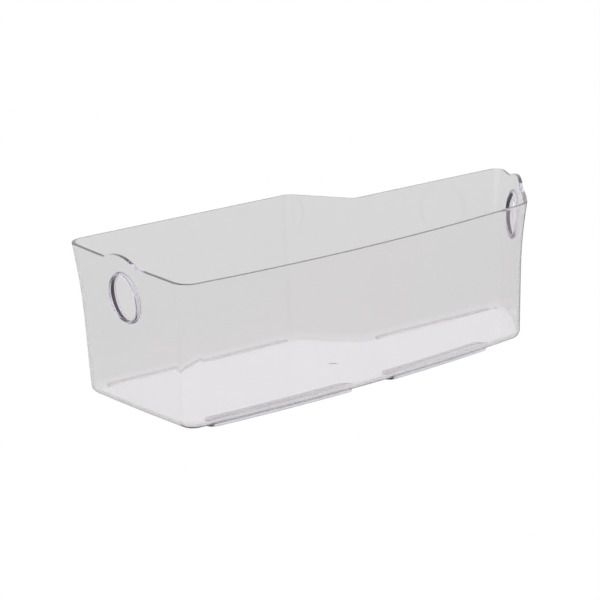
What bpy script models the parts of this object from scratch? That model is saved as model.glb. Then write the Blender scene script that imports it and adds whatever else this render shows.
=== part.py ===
"""Clear fridge door bin: a moulded tub with a bowed front, a stepped back and a finger hole in
each end, standing on four foot strips.

Frame: metres, +X along the back wall towards the splayed end, +Y from the bowed front to the
back, +Z up. The origin is the middle of the bin's bounding box, on the surface it stands on.
"""
import math

import bmesh
import bpy
from mathutils import Matrix, Vector

# Plan of the rim, anticlockwise from its front-left corner: sharp corners, how far each wall
# bows outwards from the straight line to the next corner, and the radius that rounds the corner
FRONT_LEFT = Vector((0.0, 0.0))
FRONT_RIGHT = Vector((0.3262, 0.0099))
BACK_RIGHT = Vector((0.3923, 0.1033))
STEP_RIGHT = Vector((0.2446, 0.1033))
STEP_LEFT = Vector((0.2171, 0.1440))
BACK_LEFT = Vector((0.0163, 0.1440))
FRONT_BOW = 0.0097
RIGHT_BOW = 0.0052
LEFT_BOW = 0.0013
FRONT_LEFT_RADIUS = 0.011
FRONT_RIGHT_RADIUS = 0.014
BACK_RIGHT_RADIUS = 0.0065
STEP_RADIUS = 0.008
BACK_LEFT_RADIUS = 0.0165

# Heights
STRIP_HEIGHT = 0.0022         # foot strips
JOINT_GAP = 0.0003            # clearance between a strip and the floor above it
FLOOR_Z = STRIP_HEIGHT + JOINT_GAP
RIM_HEIGHT = 0.100            # rim above the underside of the floor, at the front-left corner
RIM_SLOPE = 0.034             # the rim climbs towards the back

# Walls
WALL = 0.0024
FRONT_DRAFT = 0.0060          # how far each wall's foot stands inside its rim
BACK_DRAFT = 0.0083
END_DRAFT = 0.0023
FLARE_HEIGHT = 0.072          # above this the two ends flare outwards
FLARE_SLOPE = 0.131
FLARE_BLEND = 0.0076
FLOOR_RADIUS = 0.0060         # outer radius between the walls and the floor

# Finger holes, one in each end, with a hump in the rim above it
HOLE_RADIUS = 0.0156
HOLE_HEIGHT = 0.0782          # centre above the underside of the floor
COLLAR_RADIUS = 0.0174
COLLAR_OUT = 0.0020           # the collar stands this far out of the wall's outer face
COLLAR_IN = 0.0034            # and ends this far behind it
LEFT_HOLE_PLACE = 0.0738      # distance along each end from its front corner
RIGHT_HOLE_PLACE = 0.0650
HUMP_HALF_WIDTH = 0.0200
HUMP_HEIGHT = 0.0051

# Foot strips
FRONT_STRIP_WIDTH = 0.0120
FRONT_STRIP_INSET = 0.0060    # from the foot of the wall to the strip's edge
BACK_STRIP_WIDTH = 0.0050
BACK_STRIP_INSET = 0.0008
STRIP_BEVEL = 0.0003
FRONT_STRIPS = {"front_left_foot_strip": (0.028, 0.155), "front_right_foot_strip": (0.189, 0.296)}
BACK_LEFT_STRIP = (0.040, 0.202)
BACK_RIGHT_STRIP = (0.252, 0.366)

# How finely the curves are divided
FRONT_STEPS = 16
CORNER_STEPS = 5
COLUMNS_PER_HUMP_SIDE = 5
RIGHT_COLUMNS = range(-11, 6)
LEFT_COLUMNS = range(-10, 14)
FILLET_STEPS = 4
HOLE_SEGMENTS = 48
CAP_STEPS = 8
WALL_LEVELS = (0.022, 0.044, 0.056, 0.066, 0.074, 0.082, 0.091)
BORE_REACH = 0.012
CROSSING_STEPS = 8
SMOOTH_ANGLE = math.radians(35.0)


class Wall:
    """One wall's outer face in plan at the rim: an arc, or a line when it has no bow."""

    def __init__(self, start, end, bow=0.0):
        self.start = start
        self.along = (end - start).normalized()
        self.inward = Vector((-self.along.y, self.along.x))
        self.radius = None
        if bow:
            half = (end - start).length / 2.0
            self.radius = (half ** 2 + bow ** 2) / (2.0 * bow)
            self.centre = (start + end) / 2.0 + self.inward * (self.radius - bow)

    def depth(self, point):
        """How far a point lies inside the face, and the direction straight inwards there."""
        if self.radius is None:
            return (point - self.start).dot(self.inward), self.inward
        to_centre = self.centre - point
        return self.radius - to_centre.length, to_centre.normalized()

    def at(self, distance):
        """The point of the face beside a distance along the straight line from its start."""
        if self.radius is None:
            return self.start + self.along * distance
        across = (self.start - self.centre).dot(self.along) + distance
        return self.centre + self.along * across - self.inward * math.sqrt(self.radius ** 2 - across ** 2)


FRONT = Wall(FRONT_LEFT, FRONT_RIGHT, FRONT_BOW)
RIGHT_END = Wall(FRONT_RIGHT, BACK_RIGHT, RIGHT_BOW)
NARROW_BACK = Wall(BACK_RIGHT, STEP_RIGHT)
STEP = Wall(STEP_RIGHT, STEP_LEFT)
DEEP_BACK = Wall(STEP_LEFT, BACK_LEFT)
LEFT_END = Wall(BACK_LEFT, FRONT_LEFT, LEFT_BOW)
LEFT_END_LENGTH = (BACK_LEFT - FRONT_LEFT).length


def flare(height):
    """Softened ramp: how far the flare has carried an end outwards at a height."""
    rise = (height - FLARE_HEIGHT) / FLARE_BLEND
    return FLARE_SLOPE * FLARE_BLEND * math.log1p(math.exp(rise))


def inset(wall, height):
    """How far a wall stands inside the rim plan at a height."""
    down = 1.0 - height / RIM_HEIGHT
    if wall is FRONT:
        return FRONT_DRAFT * down
    if wall in (LEFT_END, RIGHT_END):
        return END_DRAFT * down + flare(RIM_HEIGHT) - flare(height)
    return BACK_DRAFT * down


def crossing(wall_a, depth_a, wall_b, depth_b):
    """The point at given depths inside two neighbouring walls, closed in on step by step."""
    point = wall_b.start.copy()
    for _ in range(CROSSING_STEPS):
        now_a, inward_a = wall_a.depth(point)
        now_b, inward_b = wall_b.depth(point)
        turn = inward_a.cross(inward_b)
        step_a = (depth_a - now_a) / turn
        step_b = (depth_b - now_b) / turn
        point.x += step_a * inward_b.y - step_b * inward_a.y
        point.y += step_b * inward_a.x - step_a * inward_b.x
    return point


def corner_arc(before, after, radius, height, extra, side=1.0):
    """Points of the arc that rounds the corner between two walls; side is -1 on a hollow corner."""
    radius -= side * extra
    centre = crossing(before, inset(before, height) + extra + side * radius,
                      after, inset(after, height) + extra + side * radius)
    first = -side * before.depth(centre)[1]
    sweep = first.angle_signed(-side * after.depth(centre)[1])
    points = []
    for step in range(CORNER_STEPS + 1):
        turn = -sweep * step / CORNER_STEPS
        points.append(centre + radius * Vector((first.x * math.cos(turn) - first.y * math.sin(turn),
                                                first.x * math.sin(turn) + first.y * math.cos(turn))))
    return points


def moved_in(wall, point, height, extra):
    """A point of a wall's rim line carried straight inwards to the wall's place at a height."""
    return point + wall.depth(point)[1] * (inset(wall, height) + extra)


def front_points(height, extra):
    """Points along the bowed front wall, between its corners."""
    length = (FRONT_RIGHT - FRONT_LEFT).length
    first = 2.0 * FRONT_LEFT_RADIUS
    step = (length - 2.0 * first) / FRONT_STEPS
    places = [first + step * index for index in range(FRONT_STEPS + 1)]
    return [moved_in(FRONT, FRONT.at(place), height, extra) for place in places]


def column_distance(column):
    """How far a column of points on an end wall stands from the middle of the hump."""
    return HUMP_HALF_WIDTH * column / COLUMNS_PER_HUMP_SIDE


def end_points(wall, middle, columns, height, extra):
    """Points of an end wall in columns about the middle of its hump."""
    return [moved_in(wall, wall.at(middle + column_distance(column)), height, extra) for column in columns]


def outline(height, extra=0.0):
    """The outer plan at a height, moved in by extra, anticlockwise from the front left."""
    points = corner_arc(LEFT_END, FRONT, FRONT_LEFT_RADIUS, height, extra)
    points += front_points(height, extra)
    points += corner_arc(FRONT, RIGHT_END, FRONT_RIGHT_RADIUS, height, extra)
    points += end_points(RIGHT_END, RIGHT_HOLE_PLACE, RIGHT_COLUMNS, height, extra)
    points += corner_arc(RIGHT_END, NARROW_BACK, BACK_RIGHT_RADIUS, height, extra)
    points += corner_arc(NARROW_BACK, STEP, STEP_RADIUS, height, extra, -1.0)
    points += corner_arc(STEP, DEEP_BACK, STEP_RADIUS, height, extra)
    points += corner_arc(DEEP_BACK, LEFT_END, BACK_LEFT_RADIUS, height, extra)
    points += end_points(LEFT_END, LEFT_END_LENGTH - LEFT_HOLE_PLACE, LEFT_COLUMNS, height, extra)
    return points


def hump(distance):
    """Height of the rim's hump at a distance from the middle of the hole."""
    if abs(distance) >= HUMP_HALF_WIDTH:
        return 0.0
    radius = (HUMP_HALF_WIDTH ** 2 + HUMP_HEIGHT ** 2) / (2.0 * HUMP_HEIGHT)
    return math.sqrt(radius ** 2 - distance ** 2) - (radius - HUMP_HEIGHT)


def rim_heights():
    """Height of the rim above the floor's underside at each point of the outline."""
    heights = [RIM_HEIGHT + RIM_SLOPE * point.y for point in outline(RIM_HEIGHT)]
    right_start = 2 * (CORNER_STEPS + 1) + FRONT_STEPS + 1
    left_start = len(heights) - len(LEFT_COLUMNS)
    for start, columns in ((right_start, RIGHT_COLUMNS), (left_start, LEFT_COLUMNS)):
        for index, column in enumerate(columns):
            heights[start + index] += hump(column_distance(column))
    return heights


def rim_ring():
    """The rim, in space: each point carries on up the slope of the wall below it."""
    below = outline(WALL_LEVELS[-1])
    drop = RIM_HEIGHT - WALL_LEVELS[-1]
    ring = []
    for upper, lower, height in zip(outline(RIM_HEIGHT), below, rim_heights()):
        place = lower.lerp(upper, (height - WALL_LEVELS[-1]) / drop)
        ring.append(Vector((place.x, place.y, FLOOR_Z + height)))
    return ring


def outer_rings():
    """Rings of the tub's outer face, from the edge of the flat floor up to the rim."""
    rings = []
    for step in range(FILLET_STEPS + 1):
        angle = math.pi / 2.0 * step / FILLET_STEPS
        height = FLOOR_RADIUS * (1.0 - math.cos(angle))
        extra = FLOOR_RADIUS * (1.0 - math.sin(angle))
        rings.append([Vector((p.x, p.y, FLOOR_Z + height)) for p in outline(height, extra)])
    for height in WALL_LEVELS:
        rings.append([Vector((p.x, p.y, FLOOR_Z + height)) for p in outline(height)])
    rings.append(rim_ring())
    return rings


def plan_centre():
    """Middle of the bin's bounding box in plan, which its rim sets."""
    ring = rim_ring()
    xs = [point.x for point in ring]
    ys = [point.y for point in ring]
    return Vector(((min(xs) + max(xs)) / 2.0, (min(ys) + max(ys)) / 2.0, 0.0))


def new_collection(name):
    """A collection linked to the scene."""
    collection = bpy.data.collections.new(name)
    bpy.context.scene.collection.children.link(collection)
    return collection


def add_object(name, bm, collection):
    """An object drawn in the plan frame, moved so the bin's centre is at the origin."""
    mesh = bpy.data.meshes.new(name)
    bm.to_mesh(mesh)
    bm.free()
    obj = bpy.data.objects.new(name, mesh)
    obj.location = -plan_centre()
    collection.objects.link(obj)
    return obj


def clear_plastic(name, colour, roughness):
    """A clear moulded plastic."""
    material = bpy.data.materials.new(name)
    material.use_nodes = True
    shader = material.node_tree.nodes["Principled BSDF"]
    shader.inputs["Base Color"].default_value = (*colour, 1.0)
    shader.inputs["Roughness"].default_value = roughness
    shader.inputs["Transmission Weight"].default_value = 1.0
    shader.inputs["IOR"].default_value = 1.57
    return material


def add_solidify(obj, thickness):
    """Give an open surface its thickness, on the side its faces turn away from."""
    solidify = obj.modifiers.new("thickness", "SOLIDIFY")
    solidify.thickness = thickness
    solidify.offset = -1.0
    solidify.use_even_offset = True


def add_cylinder(name, place, axis, outer, inner, radius, collection):
    """A guide cylinder on a hole's axis, from outer to inner, counted inwards from the wall's face."""
    bm = bmesh.new()
    middle = place - axis * (outer + inner) / 2.0
    turn = axis.to_track_quat("Z", "Y").to_matrix().to_4x4()
    bmesh.ops.create_cone(bm, cap_ends=True, segments=HOLE_SEGMENTS, radius1=radius, radius2=radius,
                          depth=inner - outer, matrix=Matrix.Translation(middle) @ turn)
    cylinder = add_object(name, bm, collection)
    cylinder.hide_render = True
    cylinder.display_type = "WIRE"
    return cylinder


def add_boolean(obj, cutter, operation):
    """Join a guide shape to an object, or cut it away."""
    boolean = obj.modifiers.new(cutter.name, "BOOLEAN")
    boolean.operation = operation
    boolean.solver = "EXACT"
    boolean.object = cutter


def hole_frame(wall, distance):
    """A finger hole's middle on the wall's outer face, and its axis out of the leaning wall."""
    middle = moved_in(wall, wall.at(distance), HOLE_HEIGHT, 0.0)
    inward = wall.depth(middle)[1]
    lower = inset(wall, HOLE_HEIGHT - HOLE_RADIUS)
    upper = inset(wall, HOLE_HEIGHT + HOLE_RADIUS)
    lean = (lower - upper) / (2.0 * HOLE_RADIUS)
    axis = Vector((-inward.x, -inward.y, -lean)).normalized()
    return Vector((middle.x, middle.y, FLOOR_Z + HOLE_HEIGHT)), axis


def add_finger_hole(tub, name, frame, cutters):
    """A round hole through an end wall, with a collar around it on both faces."""
    place, axis = frame
    collar = add_cylinder(name + "_collar", place, axis, -COLLAR_OUT, COLLAR_IN, COLLAR_RADIUS, cutters)
    bore = add_cylinder(name + "_bore", place, axis, -BORE_REACH, BORE_REACH, HOLE_RADIUS, cutters)
    add_boolean(tub, collar, "UNION")
    add_boolean(tub, bore, "DIFFERENCE")


def build_tub(collection, cutters):
    """The tub: its outer face lofted from the floor to the rim, walls turned inwards from it."""
    bm = bmesh.new()
    loops = [[bm.verts.new(point) for point in ring] for ring in outer_rings()]
    bm.faces.new(reversed(loops[0]))
    for lower, upper in zip(loops, loops[1:]):
        for index, corner in enumerate(lower):
            after = (index + 1) % len(lower)
            bm.faces.new((corner, lower[after], upper[after], upper[index]))
    tub = add_object("bin_body", bm, collection)
    add_solidify(tub, WALL)
    add_finger_hole(tub, "left_hole", hole_frame(LEFT_END, LEFT_END_LENGTH - LEFT_HOLE_PLACE), cutters)
    add_finger_hole(tub, "right_hole", hole_frame(RIGHT_END, RIGHT_HOLE_PLACE), cutters)
    tub.data.shade_smooth()
    tub.data.set_sharp_from_angle(angle=SMOOTH_ANGLE)
    tub.data.materials.append(clear_plastic("bin_plastic", (0.93, 0.94, 0.95), 0.06))


def stadium(start, end, width):
    """A round-ended strip drawn flat: distance along it and distance across it."""
    radius = width / 2.0
    points = []
    for middle, reach, first in ((end - radius, -1.0, -0.5), (start + radius, 1.0, 0.5)):
        for step in range(CAP_STEPS + 1):
            angle = math.pi * (first + step / CAP_STEPS)
            points.append((middle + radius * math.cos(angle), radius * math.sin(angle)))
        side = reach * (end - start - width) / FRONT_STEPS
        across = points[-1][1]
        points += [(middle + side * step, across) for step in range(1, FRONT_STEPS)]
    return points


def build_strip(name, points, collection):
    """A low foot strip: its flat top face thickened downwards, its edges eased."""
    bm = bmesh.new()
    bm.faces.new([bm.verts.new((*point, STRIP_HEIGHT)) for point in points])
    strip = add_object(name, bm, collection)
    add_solidify(strip, STRIP_HEIGHT)
    bevel = strip.modifiers.new("eased_edges", "BEVEL")
    bevel.width = STRIP_BEVEL
    bevel.segments = 2
    bevel.limit_method = "ANGLE"
    strip.data.materials.append(clear_plastic(name + "_plastic", (0.90, 0.91, 0.92), 0.12))


def build_front_strips(collection):
    """The two strips that follow the bowed front wall, with a break between them."""
    middle = FRONT_STRIP_INSET + FRONT_STRIP_WIDTH / 2.0
    for name, (start, end) in FRONT_STRIPS.items():
        shape = stadium(start, end, FRONT_STRIP_WIDTH)
        points = [moved_in(FRONT, FRONT.at(along), 0.0, middle + across) for along, across in shape]
        build_strip(name, points, collection)


def build_back_strips(collection):
    """The straight, narrower strips under the back walls of the deep bay and the narrow bay."""
    inwards = BACK_DRAFT + BACK_STRIP_INSET + BACK_STRIP_WIDTH / 2.0
    rows = (("back_left_foot_strip", BACK_LEFT_STRIP, BACK_LEFT.y),
            ("back_right_foot_strip", BACK_RIGHT_STRIP, BACK_RIGHT.y))
    for name, (start, end), back in rows:
        shape = stadium(start, end, BACK_STRIP_WIDTH)
        points = [Vector((along, back - inwards + across)) for along, across in shape]
        build_strip(name, points, collection)


def main():
    """Empty the scene and build the bin."""
    for obj in list(bpy.data.objects):
        bpy.data.objects.remove(obj)
    bin_collection = new_collection("fridge_bin")
    cutters = new_collection("cutters")
    build_tub(bin_collection, cutters)
    build_front_strips(bin_collection)
    build_back_strips(bin_collection)


main()
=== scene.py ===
import math

import bmesh
import bpy
from mathutils import Matrix, Vector


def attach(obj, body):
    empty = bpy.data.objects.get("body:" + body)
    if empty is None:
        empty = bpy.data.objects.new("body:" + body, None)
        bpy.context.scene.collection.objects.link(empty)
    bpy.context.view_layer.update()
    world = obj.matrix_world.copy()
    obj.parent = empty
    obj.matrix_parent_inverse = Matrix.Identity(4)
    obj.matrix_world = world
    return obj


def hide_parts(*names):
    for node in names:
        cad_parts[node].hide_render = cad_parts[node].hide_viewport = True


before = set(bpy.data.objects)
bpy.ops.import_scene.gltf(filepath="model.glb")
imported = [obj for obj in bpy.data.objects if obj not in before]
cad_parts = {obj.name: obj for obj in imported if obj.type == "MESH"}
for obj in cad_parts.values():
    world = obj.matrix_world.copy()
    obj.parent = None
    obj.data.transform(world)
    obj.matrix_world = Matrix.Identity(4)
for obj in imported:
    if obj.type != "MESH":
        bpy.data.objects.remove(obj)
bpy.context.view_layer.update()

# The camera
CAMERA_PLACE = Vector((-1.4012, -1.5598, 0.5753))
CAMERA_TURN = math.radians(41.242)       # from looking along +Y towards +X
CAMERA_DROP = math.radians(14.157)       # below the horizon
CAMERA_ROLL = math.radians(-1.381)
CAMERA_LENS = 184.6                      # mm
SENSOR_WIDTH = 36.0                      # mm

# The studio: how bright it is where the camera looks straight at it, and in the plastic
BACKDROP = 1.0
FLOOR_SHADE = 0.72
HORIZON_SHADE = 0.71
OVERHEAD_SHADE = 1.16
OVERHEAD_CLIMB = 0.2                     # sine of the angle above the horizon where that starts
STUDIO_WARMTH = (1.0, 0.995, 0.982)
FLOOR_SIZE = 12.0
FLOOR_CLEARANCE = 0.0002                 # air left between the bin's feet and the floor

# The clear plastic
PLASTIC_TRANSMISSION = 0.97
PLASTIC_IOR = 1.57
PLASTIC_TINT = (0.45, 0.34, 0.72)        # colour left by the absorption in a long path
PLASTIC_GLINT = (0.90, 0.78, 1.0)        # tint of its reflections
PLASTIC_DENSITY = 20.0                   # per metre
COLLAR_SHADE_COLOUR = (0.96, 0.93, 1.0)          # painted shade: a darker violet laid on the plastic's colour around the finger holes
FLOW_TINTS = ((1.0, 0.989, 0.985), (0.990, 1.0, 0.987))
FLOW_SCALE = 7.0                         # of the noise behind the flow marks' tint
GLOSS_SCALE = 60.0
RIPPLE_SCALE = 35.0
RIPPLE_STRENGTH = 0.3
NOISE_RANGE = (0.3, 0.7)                 # most of a noise texture's values

# Plan of the rim, anticlockwise from its front-left corner: sharp corners, how far each wall
# bows outwards from the straight line to the next corner, and the radius that rounds the corner
FRONT_LEFT = Vector((0.0, 0.0))
FRONT_RIGHT = Vector((0.3262, 0.0099))
BACK_RIGHT = Vector((0.3923, 0.1033))
STEP_RIGHT = Vector((0.2446, 0.1033))
STEP_LEFT = Vector((0.2171, 0.1440))
BACK_LEFT = Vector((0.0163, 0.1440))
FRONT_BOW = 0.0097
RIGHT_BOW = 0.0052
LEFT_BOW = 0.0013
FRONT_LEFT_RADIUS = 0.011
FRONT_RIGHT_RADIUS = 0.014
BACK_RIGHT_RADIUS = 0.0065
STEP_RADIUS = 0.008
BACK_LEFT_RADIUS = 0.0165

# Heights
STRIP_HEIGHT = 0.0022         # foot strips
JOINT_GAP = 0.0003            # clearance between a strip and the floor above it
FLOOR_Z = STRIP_HEIGHT + JOINT_GAP
RIM_HEIGHT = 0.100            # rim above the underside of the floor, at the front-left corner
RIM_SLOPE = 0.034             # the rim climbs towards the back

# Walls
WALL = 0.0024
FRONT_DRAFT = 0.0060          # how far each wall's foot stands inside its rim
BACK_DRAFT = 0.0083
END_DRAFT = 0.0023
FLARE_HEIGHT = 0.072          # above this the two ends flare outwards
FLARE_SLOPE = 0.131
FLARE_BLEND = 0.0076
FLOOR_RADIUS = 0.0060         # outer radius between the walls and the floor

# Finger holes, one in each end, with a hump in the rim above it
HOLE_RADIUS = 0.0156
HOLE_HEIGHT = 0.0782          # centre above the underside of the floor
COLLAR_RADIUS = 0.0174
COLLAR_OUT = 0.0020           # the collar stands this far out of the wall's outer face
COLLAR_IN = 0.0034            # and ends this far behind it
LEFT_HOLE_PLACE = 0.0738      # distance along each end from its front corner
RIGHT_HOLE_PLACE = 0.0650
HUMP_HALF_WIDTH = 0.0200
HUMP_HEIGHT = 0.0051

# The mark of the moulding gate, a shallow disc in the underside of the floor
GATE_PLACE = Vector((0.1803, 0.0588, FLOOR_Z))
GATE_RADIUS = 0.0030
GATE_DEPTH = 0.00045
GATE_FLAT_SHARE = 0.8         # how much of its radius is flat

# Foot strips
FRONT_STRIP_WIDTH = 0.0120
FRONT_STRIP_INSET = 0.0060    # from the foot of the wall to the strip's edge
BACK_STRIP_WIDTH = 0.0050
BACK_STRIP_INSET = 0.0008
FRONT_STRIPS = {"front_left_foot_strip": (0.028, 0.155),      # where each starts and ends
                "front_right_foot_strip": (0.189, 0.296)}
BACK_LEFT_STRIP = (0.040, 0.202)
BACK_RIGHT_STRIP = (0.252, 0.366)

# Small shapes of the looks
RIM_ROUNDING = 0.0009
COLLAR_OUTER_ROUNDING = 0.0008
COLLAR_INNER_ROUNDING = 0.0003
COLLAR_FILLET = 0.0007
COLLAR_SINK = 0.0001          # how far the collar's fillets run into the wall's faces
STRIP_SINK = 0.0001           # how far a strip runs up into the floor it is moulded onto
FRONT_STRIP_ROUNDING = 0.0005
BACK_STRIP_ROUNDING = 0.0019
RIB_PITCH = 0.0030            # grooves along the underside of a wide strip
RIB_WIDTH = 0.0010
RIB_DEPTH = 0.0002

# How finely the curves are divided
FRONT_STEPS = 44
CORNER_STEPS = 10
CORNER_POINTS = CORNER_STEPS + 3        # with one more point on the wall at either side
COLUMNS_PER_HUMP_SIDE = 10
RIGHT_COLUMNS = range(-22, 11)          # counted from the middle of the hump
LEFT_COLUMNS = range(-20, 28)
FILLET_STEPS = 8
WALL_LEVEL_COUNT = 26
TOP_LEVEL = 0.091                       # above this level the rings bend with the rim
LEVEL_STEP = (TOP_LEVEL - FLOOR_RADIUS) / WALL_LEVEL_COUNT
WALL_LEVELS = [FLOOR_RADIUS + LEVEL_STEP * (level + 1) for level in range(WALL_LEVEL_COUNT)]
RIM_STEPS = 4
RIM_ROUNDING_STEPS = 4
HOLE_SEGMENTS = 96
COLLAR_STEPS = 5
CAP_STEPS = 16                          # in each round end of a strip
STRIP_STEPS = 24
STRIP_ROUNDING_STEPS = 6
CROSSING_STEPS = 8

# Meshing
FLOOR_MARGIN = 0.0015         # beyond a rounding, how soon a flat face shades as flat
CORNER_MARGIN = 0.0015
RIM_MARGIN = 0.0013
BORE_REACH = 0.012            # how far a hole's cutter reaches past the wall, either way
SMOOTH_ANGLE = math.radians(35.0)
SHARP_ANGLE = math.radians(60.0)        # edges sharper than this are rounded
MERGE_DISTANCE = 0.0000005    # points closer than this become one


class Wall:
    """One wall's outer face in plan at the rim: an arc, or a line when it has no bow."""

    def __init__(self, start, end, bow=0.0):
        self.start = start
        self.along = (end - start).normalized()
        self.inward = Vector((-self.along.y, self.along.x))
        self.radius = None
        if bow:
            half = (end - start).length / 2.0
            self.radius = (half ** 2 + bow ** 2) / (2.0 * bow)
            self.centre = (start + end) / 2.0 + self.inward * (self.radius - bow)

    def depth(self, point):
        """How far a point lies inside the face, and the direction straight inwards there."""
        if self.radius is None:
            return (point - self.start).dot(self.inward), self.inward
        to_centre = self.centre - point
        return self.radius - to_centre.length, to_centre.normalized()

    def at(self, distance):
        """The point of the face beside a distance along the straight line from its start."""
        if self.radius is None:
            return self.start + self.along * distance
        across = (self.start - self.centre).dot(self.along) + distance
        outwards = math.sqrt(self.radius ** 2 - across ** 2)
        return self.centre + self.along * across - self.inward * outwards


FRONT = Wall(FRONT_LEFT, FRONT_RIGHT, FRONT_BOW)
RIGHT_END = Wall(FRONT_RIGHT, BACK_RIGHT, RIGHT_BOW)
NARROW_BACK = Wall(BACK_RIGHT, STEP_RIGHT)
STEP = Wall(STEP_RIGHT, STEP_LEFT)
DEEP_BACK = Wall(STEP_LEFT, BACK_LEFT)
LEFT_END = Wall(BACK_LEFT, FRONT_LEFT, LEFT_BOW)
LEFT_END_LENGTH = (BACK_LEFT - FRONT_LEFT).length
HOLES = {"left_hole": (LEFT_END, LEFT_END_LENGTH - LEFT_HOLE_PLACE),
         "right_hole": (RIGHT_END, RIGHT_HOLE_PLACE)}


def flare(height):
    """Softened ramp: how far the flare has carried an end outwards at a height."""
    rise = (height - FLARE_HEIGHT) / FLARE_BLEND
    return FLARE_SLOPE * FLARE_BLEND * math.log1p(math.exp(rise))


def inset(wall, height):
    """How far a wall stands inside the rim plan at a height."""
    down = 1.0 - height / RIM_HEIGHT
    if wall is FRONT:
        return FRONT_DRAFT * down
    if wall in (LEFT_END, RIGHT_END):
        return END_DRAFT * down + flare(RIM_HEIGHT) - flare(height)
    return BACK_DRAFT * down


def crossing(wall_a, depth_a, wall_b, depth_b):
    """The point at given depths inside two neighbouring walls, closed in on step by step."""
    point = wall_b.start.copy()
    for _ in range(CROSSING_STEPS):
        now_a, inward_a = wall_a.depth(point)
        now_b, inward_b = wall_b.depth(point)
        turn = inward_a.cross(inward_b)
        step_a = (depth_a - now_a) / turn
        step_b = (depth_b - now_b) / turn
        point.x += step_a * inward_b.y - step_b * inward_a.y
        point.y += step_b * inward_a.x - step_a * inward_b.x
    return point


def on_face(wall, point, height, extra):
    """A point shifted squarely onto a wall's face at a height."""
    now, inward = wall.depth(point)
    return point + inward * (inset(wall, height) + extra - now)


def corner_arc(before, after, radius, height, extra, side=1.0):
    """Points of the arc that rounds the corner between two walls; side is -1 on a hollow corner.

    A point on each wall just beyond the arc keeps the wall's shading flat up to it.
    """
    radius -= side * extra
    centre = crossing(before, inset(before, height) + extra + side * radius,
                      after, inset(after, height) + extra + side * radius)
    first = -side * before.depth(centre)[1]
    sweep = first.angle_signed(-side * after.depth(centre)[1])
    points = []
    for step in range(CORNER_STEPS + 1):
        turn = Matrix.Rotation(-sweep * step / CORNER_STEPS, 2)
        points.append(centre + radius * (turn @ first))
    lead_in = on_face(before, points[0] - before.along * CORNER_MARGIN, height, extra)
    lead_out = on_face(after, points[-1] + after.along * CORNER_MARGIN, height, extra)
    return [lead_in, *points, lead_out]


def moved_in(wall, point, height, extra):
    """A point of a wall's rim line carried straight inwards to the wall's place at a height."""
    return point + wall.depth(point)[1] * (inset(wall, height) + extra)


def front_points(height, extra):
    """Points along the bowed front wall, between its corners."""
    length = (FRONT_RIGHT - FRONT_LEFT).length
    first = 2.0 * FRONT_LEFT_RADIUS
    step = (length - 2.0 * first) / FRONT_STEPS
    places = [first + step * index for index in range(FRONT_STEPS + 1)]
    return [moved_in(FRONT, FRONT.at(place), height, extra) for place in places]


def column_distance(column):
    """How far a column of points on an end wall stands from the middle of the hump."""
    return HUMP_HALF_WIDTH * column / COLUMNS_PER_HUMP_SIDE


def end_points(wall, middle, columns, height, extra):
    """Points of an end wall in columns about the middle of its hump."""
    places = [middle + column_distance(column) for column in columns]
    return [moved_in(wall, wall.at(place), height, extra) for place in places]


def outline(height, extra=0.0):
    """The outer plan at a height, moved in by extra, anticlockwise from the front left."""
    points = corner_arc(LEFT_END, FRONT, FRONT_LEFT_RADIUS, height, extra)
    points += front_points(height, extra)
    points += corner_arc(FRONT, RIGHT_END, FRONT_RIGHT_RADIUS, height, extra)
    points += end_points(RIGHT_END, RIGHT_HOLE_PLACE, RIGHT_COLUMNS, height, extra)
    points += corner_arc(RIGHT_END, NARROW_BACK, BACK_RIGHT_RADIUS, height, extra)
    points += corner_arc(NARROW_BACK, STEP, STEP_RADIUS, height, extra, -1.0)
    points += corner_arc(STEP, DEEP_BACK, STEP_RADIUS, height, extra)
    points += corner_arc(DEEP_BACK, LEFT_END, BACK_LEFT_RADIUS, height, extra)
    points += end_points(LEFT_END, LEFT_END_LENGTH - LEFT_HOLE_PLACE, LEFT_COLUMNS, height, extra)
    return points


def hump(distance):
    """Height of the rim's hump at a distance from the middle of the hole."""
    if abs(distance) >= HUMP_HALF_WIDTH:
        return 0.0
    radius = (HUMP_HALF_WIDTH ** 2 + HUMP_HEIGHT ** 2) / (2.0 * HUMP_HEIGHT)
    return math.sqrt(radius ** 2 - distance ** 2) - (radius - HUMP_HEIGHT)


def rim_heights():
    """Height of the rim above the floor's underside at each point of the outline."""
    heights = [RIM_HEIGHT + RIM_SLOPE * point.y for point in outline(RIM_HEIGHT)]
    right_start = 2 * CORNER_POINTS + FRONT_STEPS + 1
    left_start = len(heights) - len(LEFT_COLUMNS)
    for start, columns in ((right_start, RIGHT_COLUMNS), (left_start, LEFT_COLUMNS)):
        for index, column in enumerate(columns):
            heights[start + index] += hump(column_distance(column))
    return heights


def ring_towards_rim(share, below_rim=0.0):
    """A ring part of the way from the last level up the slope of the wall to the rim."""
    below = outline(WALL_LEVELS[-1])
    drop = RIM_HEIGHT - WALL_LEVELS[-1]
    ring = []
    for upper, lower, rim_height in zip(outline(RIM_HEIGHT), below, rim_heights()):
        rise = (rim_height - WALL_LEVELS[-1]) * share - below_rim
        place = lower.lerp(upper, rise / drop)
        ring.append(Vector((place.x, place.y, FLOOR_Z + WALL_LEVELS[-1] + rise)))
    return ring


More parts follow.
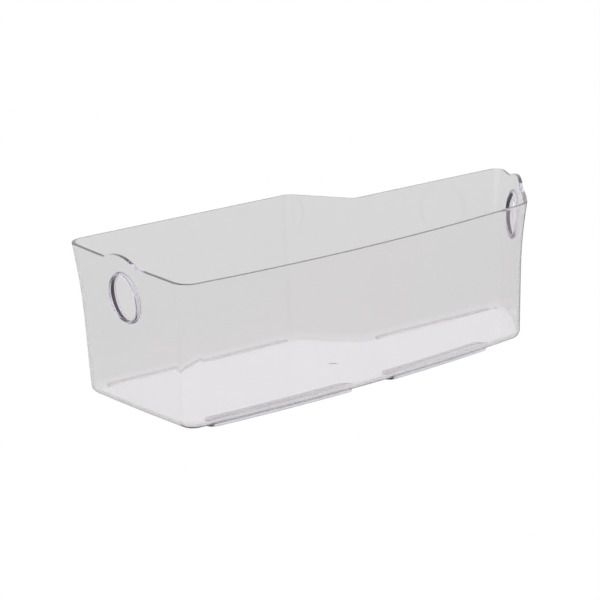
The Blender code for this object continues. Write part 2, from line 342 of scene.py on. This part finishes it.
def outer_rings():
    """Rings of the tub's outer face, from inside the edge of the flat floor up to the rim."""
    rings = [[Vector((p.x, p.y, FLOOR_Z)) for p in outline(0.0, FLOOR_RADIUS + FLOOR_MARGIN)]]
    for step in range(FILLET_STEPS + 1):
        angle = math.pi / 2.0 * step / FILLET_STEPS
        height = FLOOR_RADIUS * (1.0 - math.cos(angle))
        extra = FLOOR_RADIUS * (1.0 - math.sin(angle))
        rings.append([Vector((p.x, p.y, FLOOR_Z + height)) for p in outline(height, extra)])
    for height in WALL_LEVELS:
        rings.append([Vector((p.x, p.y, FLOOR_Z + height)) for p in outline(height)])
    for step in range(1, RIM_STEPS):
        rings.append(ring_towards_rim(step / RIM_STEPS))
    rings.append(ring_towards_rim(1.0, RIM_MARGIN))
    rings.append(ring_towards_rim(1.0))
    return rings


def plan_centre():
    """Middle of the bin's bounding box in plan, which its rim sets."""
    ring = ring_towards_rim(1.0)
    xs = [point.x for point in ring]
    ys = [point.y for point in ring]
    return Vector(((min(xs) + max(xs)) / 2.0, (min(ys) + max(ys)) / 2.0, 0.0))


def new_object(name, bm):
    """An object drawn in the plan frame, moved onto the bin."""
    mesh = bpy.data.meshes.new(name)
    bm.to_mesh(mesh)
    bm.free()
    obj = bpy.data.objects.new(name, mesh)
    obj.location = -plan_centre()
    bpy.context.scene.collection.objects.link(obj)
    return obj


def new_piece(name, bm, material, node):
    """A visible piece that rides the bin's body and stands for one of its nodes."""
    piece = new_object(name, bm)
    piece.data.materials.append(material)
    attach(piece, "root")
    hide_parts(node)
    return piece


def shade_smoothly(piece):
    """Shade a piece smooth, apart from its sharp edges."""
    piece.data.shade_smooth()
    piece.data.set_sharp_from_angle(angle=SMOOTH_ANGLE)


def noise(nodes, links, coordinates, scale, detail):
    """The values of a noise texture in object coordinates."""
    texture = nodes.new("ShaderNodeTexNoise")
    texture.inputs["Scale"].default_value = scale
    texture.inputs["Detail"].default_value = detail
    links.new(coordinates, texture.inputs["Vector"])
    return texture.outputs["Fac"]


def spread(nodes, links, value, known, wanted):
    """A value carried from one range of values to another."""
    step = nodes.new("ShaderNodeMapRange")
    step.inputs["From Min"].default_value = known[0]
    step.inputs["From Max"].default_value = known[1]
    step.inputs["To Min"].default_value = wanted[0]
    step.inputs["To Max"].default_value = wanted[1]
    links.new(value, step.inputs["Value"])
    return step.outputs["Result"]


def clear_plastic(name, painted_shade_factor, roughness, ripple):
    """Clear moulded plastic: faint flow marks in its colour, gloss and surface.

    clarity darkens its colour, and so the light its faces let through: painted shade, 1.0 on the
    tub and lower on the foot strips, where it stands in for the shade around where they sit on the
    floor; roughness is a lowest and a highest value, and ripple the height of the waves in its
    surface.
    """
    material = bpy.data.materials.new(name)
    material.use_nodes = True
    nodes = material.node_tree.nodes
    links = material.node_tree.links
    shader = nodes["Principled BSDF"]
    output = nodes["Material Output"]
    shader.inputs["Transmission Weight"].default_value = PLASTIC_TRANSMISSION
    shader.inputs["IOR"].default_value = PLASTIC_IOR
    shader.inputs["Specular Tint"].default_value = (*PLASTIC_GLINT, 1.0)
    place = nodes.new("ShaderNodeTexCoord").outputs["Object"]

    tint = nodes.new("ShaderNodeMix")
    tint.data_type = "RGBA"
    # the flow tints, darkened on the foot strips by painted shade
    for side, colour in zip("AB", FLOW_TINTS):
        tint.inputs[side].default_value = (*[part * painted_shade_factor for part in colour], 1.0)
    links.new(noise(nodes, links, place, FLOW_SCALE, 2.0), tint.inputs["Factor"])
    links.new(tint.outputs["Result"], shader.inputs["Base Color"])

    gloss = noise(nodes, links, place, GLOSS_SCALE, 6.0)
    links.new(spread(nodes, links, gloss, NOISE_RANGE, roughness), shader.inputs["Roughness"])

    bump = nodes.new("ShaderNodeBump")
    bump.inputs["Strength"].default_value = RIPPLE_STRENGTH
    bump.inputs["Distance"].default_value = ripple
    links.new(noise(nodes, links, place, RIPPLE_SCALE, 3.0), bump.inputs["Height"])
    links.new(bump.outputs["Normal"], shader.inputs["Normal"])

    absorption = nodes.new("ShaderNodeVolumeAbsorption")
    absorption.inputs["Color"].default_value = (*PLASTIC_TINT, 1.0)
    absorption.inputs["Density"].default_value = PLASTIC_DENSITY
    links.new(absorption.outputs["Volume"], output.inputs["Volume"])
    return material


def paint_collar_shade(material):
    """Paint shade onto the collars of the finger holes: the plastic's colour turns a darker violet
    there, standing in for the dark violet of light's long paths through the thick collars.
    """
    nodes = material.node_tree.nodes
    links = material.node_tree.links
    colour_socket = nodes["Principled BSDF"].inputs["Base Color"]
    nearer = nodes.new("ShaderNodeMath")
    nearer.operation = "MINIMUM"
    for index, (wall, distance) in enumerate(HOLES.values()):
        measure = nodes.new("ShaderNodeVectorMath")
        measure.operation = "DISTANCE"
        measure.inputs[1].default_value = hole_frame(wall, distance)[0]
        links.new(nodes["Texture Coordinate"].outputs["Object"], measure.inputs[0])
        links.new(measure.outputs["Value"], nearer.inputs[index])
    edge = (COLLAR_RADIUS + COLLAR_FILLET, COLLAR_RADIUS + 2.0 * COLLAR_FILLET)
    share = spread(nodes, links, nearer.outputs["Value"], edge, (1.0, 0.0))
    # painted shade: near the holes the colour is multiplied by the darker violet
    collar_shade = nodes.new("ShaderNodeMix")
    collar_shade.data_type = "RGBA"
    collar_shade.blend_type = "MULTIPLY"
    collar_shade.inputs["B"].default_value = (*COLLAR_SHADE_COLOUR, 1.0)
    links.new(share, collar_shade.inputs["Factor"])
    links.new(colour_socket.links[0].from_socket, collar_shade.inputs["A"])
    links.new(collar_shade.outputs["Result"], colour_socket)


def add_solidify(obj, thickness):
    """Give an open surface its thickness, on the side its faces turn away from."""
    solidify = obj.modifiers.new("thickness", "SOLIDIFY")
    solidify.thickness = thickness
    solidify.offset = -1.0
    solidify.use_even_offset = True


def add_bevel(obj, width, segments):
    """Round an object's sharp edges."""
    bevel = obj.modifiers.new("rounded_edges", "BEVEL")
    bevel.width = width
    bevel.segments = segments
    bevel.limit_method = "ANGLE"
    bevel.angle_limit = SHARP_ANGLE


def add_boolean(obj, cutter, operation):
    """Join a guide shape to an object, or cut it away."""
    boolean = obj.modifiers.new(cutter.name, "BOOLEAN")
    boolean.operation = operation
    boolean.solver = "EXACT"
    boolean.object = cutter


def apply_modifiers(obj):
    """Turn an object's modifiers into mesh, without the slivers the Booleans leave."""
    depsgraph = bpy.context.evaluated_depsgraph_get()
    mesh = bpy.data.meshes.new_from_object(obj.evaluated_get(depsgraph))
    obj.modifiers.clear()
    obj.data = mesh
    bm = bmesh.new()
    bm.from_mesh(mesh)
    bmesh.ops.remove_doubles(bm, verts=bm.verts, dist=MERGE_DISTANCE)
    bmesh.ops.dissolve_degenerate(bm, edges=bm.edges, dist=MERGE_DISTANCE)
    bm.to_mesh(mesh)
    bm.free()


def hole_frame(wall, distance):
    """A finger hole's middle on the wall's outer face, and its axis out of the leaning wall."""
    middle = moved_in(wall, wall.at(distance), HOLE_HEIGHT, 0.0)
    inward = wall.depth(middle)[1]
    lower = inset(wall, HOLE_HEIGHT - HOLE_RADIUS)
    upper = inset(wall, HOLE_HEIGHT + HOLE_RADIUS)
    lean = (lower - upper) / (2.0 * HOLE_RADIUS)
    axis = Vector((-inward.x, -inward.y, -lean)).normalized()
    return Vector((middle.x, middle.y, FLOOR_Z + HOLE_HEIGHT)), axis


def arc(centre, radius, first, last):
    """Points of an arc in a cross-section, between two angles in degrees."""
    points = []
    for step in range(COLLAR_STEPS + 1):
        angle = math.radians(first + (last - first) * step / COLLAR_STEPS)
        points.append((centre[0] + radius * math.cos(angle), centre[1] + radius * math.sin(angle)))
    return points


def collar_profile():
    """Cross-section of a collar: distance from the hole's axis, distance out of the wall's face.

    Its lips are rounded, and it runs out onto both faces of the wall in a hollow fillet.
    """
    root = COLLAR_RADIUS + COLLAR_FILLET
    outer = COLLAR_OUTER_ROUNDING
    inner = COLLAR_INNER_ROUNDING
    return [*arc((root, COLLAR_FILLET - COLLAR_SINK), COLLAR_FILLET, 270.0, 180.0),
            *arc((COLLAR_RADIUS - outer, COLLAR_OUT - outer), outer, 0.0, 90.0),
            *arc((HOLE_RADIUS + outer, COLLAR_OUT - outer), outer, 90.0, 180.0),
            *arc((HOLE_RADIUS + inner, inner - COLLAR_IN), inner, 180.0, 270.0),
            *arc((COLLAR_RADIUS - inner, inner - COLLAR_IN), inner, 270.0, 360.0),
            *arc((root, COLLAR_SINK - WALL - COLLAR_FILLET), COLLAR_FILLET, 180.0, 90.0)]


def lathe(name, profile, place, axis):
    """A closed cross-section turned about an axis through a place."""
    bm = bmesh.new()
    upright = axis.to_track_quat("Z", "Y").to_matrix().to_4x4()
    onto_axis = Matrix.Translation(place) @ upright
    rings = []
    for step in range(HOLE_SEGMENTS):
        turn = Matrix.Rotation(math.tau * step / HOLE_SEGMENTS, 4, "Z")
        rings.append([bm.verts.new(onto_axis @ turn @ Vector((radius, 0.0, out)))
                      for radius, out in profile])
    for index, ring in enumerate(rings):
        after = rings[(index + 1) % HOLE_SEGMENTS]
        for corner, vertex in enumerate(ring):
            onward = (corner + 1) % len(ring)
            bm.faces.new((vertex, after[corner], after[onward], ring[onward]))
    bmesh.ops.recalc_face_normals(bm, faces=bm.faces)
    return new_object(name, bm)


def add_finger_hole(tub, name, wall, distance):
    """A round hole through an end wall, lined with a collar that stands out on both faces."""
    place, axis = hole_frame(wall, distance)
    middle = (HOLE_RADIUS + COLLAR_RADIUS) / 2.0
    bore = [(0.0, BORE_REACH), (0.0, -BORE_REACH), (middle, -BORE_REACH), (middle, BORE_REACH)]
    opening = lathe(name + "_opening", bore, place, axis)
    collar = lathe(name + "_collar", collar_profile(), place, axis)
    add_boolean(tub, opening, "DIFFERENCE")
    add_boolean(tub, collar, "UNION")
    return [opening, collar]


def add_gate_mark(tub):
    """A shallow disc with a sloped edge, sunk in the underside of the floor."""
    profile = [(0.0, GATE_DEPTH), (0.0, -GATE_DEPTH), (GATE_RADIUS, -GATE_DEPTH),
               (GATE_RADIUS, GATE_DEPTH / 2.0), (GATE_RADIUS * GATE_FLAT_SHARE, GATE_DEPTH)]
    mark = lathe("gate_mark", profile, GATE_PLACE, Vector((0.0, 0.0, 1.0)))
    add_boolean(tub, mark, "DIFFERENCE")
    return mark


def build_tub(material):
    """The tub, with a rounded rim and rounded collars."""
    bm = bmesh.new()
    loops = [[bm.verts.new(point) for point in ring] for ring in outer_rings()]
    floor = bm.faces.new(reversed(loops[0]))
    bmesh.ops.triangulate(bm, faces=[floor], ngon_method="BEAUTY")
    for lower, upper in zip(loops, loops[1:]):
        for index, corner in enumerate(lower):
            after = (index + 1) % len(lower)
            bm.faces.new((corner, lower[after], upper[after], upper[index]))
    tub = new_piece("clear_tub", bm, material, "bin_body")
    add_solidify(tub, WALL)
    add_bevel(tub, RIM_ROUNDING, RIM_ROUNDING_STEPS)
    guides = []
    for name, (wall, distance) in HOLES.items():
        guides += add_finger_hole(tub, name, wall, distance)
    guides.append(add_gate_mark(tub))
    apply_modifiers(tub)
    for guide in guides:
        bpy.data.objects.remove(guide)
    shade_smoothly(tub)


def strip_levels(width, rounding):
    """Cross-section of half a strip: distance in from its edge, and height."""
    levels = [(0.0, FLOOR_Z + STRIP_SINK)]
    for step in range(STRIP_ROUNDING_STEPS + 1):
        angle = math.pi / 2.0 * step / STRIP_ROUNDING_STEPS
        levels.append((rounding * (1.0 - math.cos(angle)), rounding * (1.0 - math.sin(angle))))
    ribs = max(1, round(width / (2.0 * RIB_PITCH)))
    for rib in range(1, ribs):
        middle = rounding + (width / 2.0 - rounding) * rib / ribs
        levels += [(middle - RIB_WIDTH, 0.0), (middle, RIB_DEPTH), (middle + RIB_WIDTH, 0.0)]
    return levels


def strip_mesh(start, end, width, rounding, place):
    """A round-ended strip: nested stadium outlines from its rim in to its middle line."""
    bm = bmesh.new()
    levels = strip_levels(width, rounding)
    rings = []
    for shrink, height in levels:
        shape = stadium(start + shrink, end - shrink, width - 2.0 * shrink)
        rings.append([bm.verts.new((*place(along, across), height)) for along, across in shape])
    bm.faces.new(rings[0])
    for outer, inner in zip(rings, rings[1:]):
        for index, corner in enumerate(outer):
            after = (index + 1) % len(outer)
            bm.faces.new((corner, inner[index], inner[after], outer[after]))
    bm.faces.new(reversed(rings[-1]))
    return bm


def stadium(start, end, width):
    """A round-ended strip drawn flat: distance along it and distance across it."""
    radius = width / 2.0
    points = []
    for middle, reach, first in ((end - radius, -1.0, -0.5), (start + radius, 1.0, 0.5)):
        for step in range(CAP_STEPS + 1):
            angle = math.pi * (first + step / CAP_STEPS)
            points.append((middle + radius * math.cos(angle), radius * math.sin(angle)))
        side = reach * (end - start - width) / STRIP_STEPS
        across = points[-1][1]
        points += [(middle + side * step, across) for step in range(1, STRIP_STEPS)]
    return points


def build_strip(node, start, end, width, rounding, place, material):
    """A low foot strip, grooved along its underside when it is wide enough, moulded onto the floor.
    """
    bm = strip_mesh(start, end, width, rounding, place)
    strip = new_piece("moulded_" + node, bm, material, node)
    shade_smoothly(strip)


def build_strips(front_plastic, back_plastic):
    """Two strips that follow the bowed front wall, and two straight ones under the back walls."""
    front_middle = FRONT_STRIP_INSET + FRONT_STRIP_WIDTH / 2.0

    def beside_front(along, across):
        return moved_in(FRONT, FRONT.at(along), 0.0, front_middle + across)

    for node, (start, end) in FRONT_STRIPS.items():
        build_strip(node, start, end, FRONT_STRIP_WIDTH, FRONT_STRIP_ROUNDING,
                    beside_front, front_plastic)
    inwards = BACK_DRAFT + BACK_STRIP_INSET + BACK_STRIP_WIDTH / 2.0
    rows = (("back_left_foot_strip", BACK_LEFT_STRIP, BACK_LEFT.y - inwards),
            ("back_right_foot_strip", BACK_RIGHT_STRIP, BACK_RIGHT.y - inwards))
    for node, (start, end), middle in rows:
        build_strip(node, start, end, BACK_STRIP_WIDTH, BACK_STRIP_ROUNDING,
                    lambda along, across, middle=middle: (along, middle + across), back_plastic)


def build_camera():
    """The camera, off the bin's front-left corner and a little above it."""
    data = bpy.data.cameras.new("camera")
    data.lens = CAMERA_LENS
    data.sensor_width = SENSOR_WIDTH
    camera = bpy.data.objects.new("camera", data)
    camera.location = CAMERA_PLACE
    turn = Matrix.Rotation(-CAMERA_TURN, 3, "Z")
    tilt = Matrix.Rotation(math.pi / 2.0 - CAMERA_DROP, 3, "X")
    roll = Matrix.Rotation(CAMERA_ROLL, 3, "Z")
    camera.rotation_euler = (turn @ tilt @ roll).to_euler()
    bpy.context.scene.collection.objects.link(camera)
    bpy.context.scene.camera = camera


def add_backdrop(nodes, links):
    """A colour mix: the plain backdrop to the camera, its other colour to all else."""
    light_path = nodes.new("ShaderNodeLightPath")
    shade = nodes.new("ShaderNodeMix")
    shade.data_type = "RGBA"
    shade.inputs["B"].default_value = (BACKDROP, BACKDROP, BACKDROP, 1.0)
    links.new(light_path.outputs["Is Camera Ray"], shade.inputs["Factor"])
    return shade


def build_floor():
    """A pale floor: near white where the camera sees it, greyer through the plastic."""
    bm = bmesh.new()
    bmesh.ops.create_grid(bm, x_segments=1, y_segments=1, size=FLOOR_SIZE / 2.0)
    mesh = bpy.data.meshes.new("floor")
    bm.to_mesh(mesh)
    bm.free()
    floor = bpy.data.objects.new("floor", mesh)
    floor.location.z = -FLOOR_CLEARANCE
    bpy.context.scene.collection.objects.link(floor)
    material = bpy.data.materials.new("floor")
    material.use_nodes = True
    nodes = material.node_tree.nodes
    links = material.node_tree.links
    nodes.remove(nodes["Principled BSDF"])
    glow = nodes.new("ShaderNodeEmission")
    shade = add_backdrop(nodes, links)
    shade.inputs["A"].default_value = (*[FLOOR_SHADE * part for part in STUDIO_WARMTH], 1.0)
    links.new(shade.outputs["Result"], glow.inputs["Color"])
    links.new(glow.outputs["Emission"], nodes["Material Output"].inputs["Surface"])
    mesh.materials.append(material)


def build_world():
    """Plain soft studio light from all round, brighter overhead."""
    world = bpy.data.worlds.new("studio")
    bpy.context.scene.world = world
    world.use_nodes = True
    nodes = world.node_tree.nodes
    links = world.node_tree.links
    direction = nodes.new("ShaderNodeTexCoord")
    split = nodes.new("ShaderNodeSeparateXYZ")
    links.new(direction.outputs["Generated"], split.inputs["Vector"])
    shades = (HORIZON_SHADE, OVERHEAD_SHADE)
    brightness = spread(nodes, links, split.outputs["Z"], (0.0, OVERHEAD_CLIMB), shades)
    warmth = nodes.new("ShaderNodeVectorMath")
    warmth.operation = "SCALE"
    warmth.inputs[0].default_value = STUDIO_WARMTH
    links.new(brightness, warmth.inputs["Scale"])
    shade = add_backdrop(nodes, links)
    links.new(warmth.outputs["Vector"], shade.inputs["A"])
    links.new(shade.outputs["Result"], nodes["Background"].inputs["Color"])


def main():
    """Build the looks."""
    build_camera()
    build_floor()
    build_world()
    bin_plastic = clear_plastic("clear_plastic", painted_shade_factor=1.0, roughness=(0.0, 0.03), ripple=0.00002)
    paint_collar_shade(bin_plastic)
    build_tub(bin_plastic)
    # painted shade: the foot strips' colour is darker, standing in for the shade where they sit on
    # the floor
    front_strip_plastic = clear_plastic("front_strip_plastic", painted_shade_factor=0.92,
                                        roughness=(0.01, 0.03), ripple=0.000005)
    back_strip_plastic = clear_plastic("back_strip_plastic", painted_shade_factor=0.98,
                                       roughness=(0.40, 0.50), ripple=0.00002)
    build_strips(front_strip_plastic, back_strip_plastic)
    bpy.context.scene.view_settings.view_transform = "Standard"


main()
